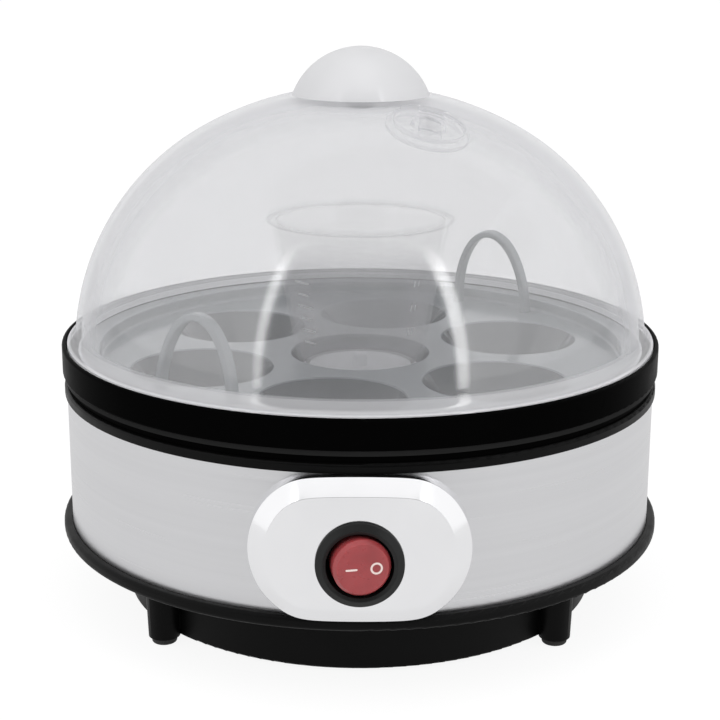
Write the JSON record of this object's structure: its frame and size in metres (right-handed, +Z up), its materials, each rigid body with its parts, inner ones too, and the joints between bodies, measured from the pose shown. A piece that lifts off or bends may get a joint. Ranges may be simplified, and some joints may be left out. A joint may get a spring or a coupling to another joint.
{
  "type": "electric egg cooker",
  "caption": "Round electric egg cooker: steel-banded heating base with rocker switch, lift-out egg tray with arched handles, measuring cup, and milky domed lid with knob and steam vent.",
  "frame": {"origin": "on the standing surface, on the axis of the round body", "axes": "+Z up along the body's axis, -Y towards the switch, +X to the right seen from the front"},
  "size_m": [0.181, 0.1958, 0.1644],
  "materials": {
    "base_plastic": "satin moulded black",
    "collar_plastic": "satin moulded dark grey",
    "ring_gloss": "polished black",
    "band_steel": "satin stainless, brushed round the band",
    "screw_steel": "zinc plated",
    "seal_silicone": "moulded silicone",
    "pan_coating": "non-stick coated pressed dish",
    "spreader_aluminium": "mill finish",
    "element_steel": "heat-tinted sheath",
    "thermostat_phenolic": "moulded phenolic",
    "fuse_metal": "plain metal case",
    "sleeve_fibre": "woven glass fibre",
    "block_ceramic": "off-white moulding",
    "panel_chrome": "satin silver plating",
    "switch_black": "satin black",
    "terminal_brass": "plain brass",
    "rocker_red": "clear red moulding",
    "lamp_glass": "clear bulb",
    "gland_plastic": "satin black",
    "tray_plastic": "satin grey",
    "cup_clear": "clear moulding",
    "pin_steel": "polished needle",
    "lid_milky": "milky translucent moulding",
    "knob_milky": "milky translucent moulding",
    "wire_brown": "brown insulation",
    "wire_blue": "blue insulation",
    "wire_white": "white silicone insulation",
    "foot_rubber": "moulded rubber"
  },
  "bodies": {
    "base": {"base_cover": "base_plastic", "body_housing": "collar_plastic", "upper_ring": "ring_gloss", "steel_band": "band_steel", "base_screws": "screw_steel", "bracket_screws": "screw_steel", "panel_screws": "screw_steel", "pan_seal": "seal_silicone", "heating_pan": "pan_coating", "heat_spreader": "spreader_aluminium", "heating_element": "element_steel", "thermostat": "thermostat_phenolic", "thermostat_bracket": "screw_steel", "thermal_fuse": "fuse_metal", "fuse_sleeve": "sleeve_fibre", "fuse_strap": "screw_steel", "terminal_block": "block_ceramic", "switch_panel": "panel_chrome", "switch_body": "switch_black", "switch_terminals": "terminal_brass", "cord_gland": "gland_plastic", "wire_live": "wire_brown", "wire_switched": "wire_white", "wire_to_fuse": "wire_white", "wire_to_element": "wire_white", "wire_neutral": "wire_blue", "foot_pad_front_left": "foot_rubber", "foot_pad_front_right": "foot_rubber", "foot_pad_rear_right": "foot_rubber", "foot_pad_rear_left": "foot_rubber"},
    "rocker": {"rocker": "rocker_red", "neon_lamp": "lamp_glass"},
    "tray": {"egg_tray": "tray_plastic", "tray_handle_right": "tray_plastic", "tray_handle_left": "tray_plastic"},
    "cup": {"measuring_cup": "cup_clear", "piercing_pin": "pin_steel"},
    "lid": {"lid_dome": "lid_milky", "lid_knob": "knob_milky", "knob_screw": "screw_steel"}
  },
  "joints": [
    {"name": "rocker_press", "type": "hinge", "parent": "base", "child": "rocker", "pos_m": [0, -0.0935, 0.0424], "axis": [0, 0, -1], "range_deg": [0, 24]},
    {"name": "tray_lift", "type": "slide", "parent": "base", "child": "tray", "axis": [0, 0, 1], "range_m": [0, 0.1]},
    {"name": "cup_lift", "type": "slide", "parent": "tray", "child": "cup", "axis": [0, 0, 1], "range_m": [0, 0.08]},
    {"name": "lid_lift", "type": "slide", "parent": "cup", "child": "lid", "axis": [0, 0, 1], "range_m": [0, 0.12]}
  ]
}
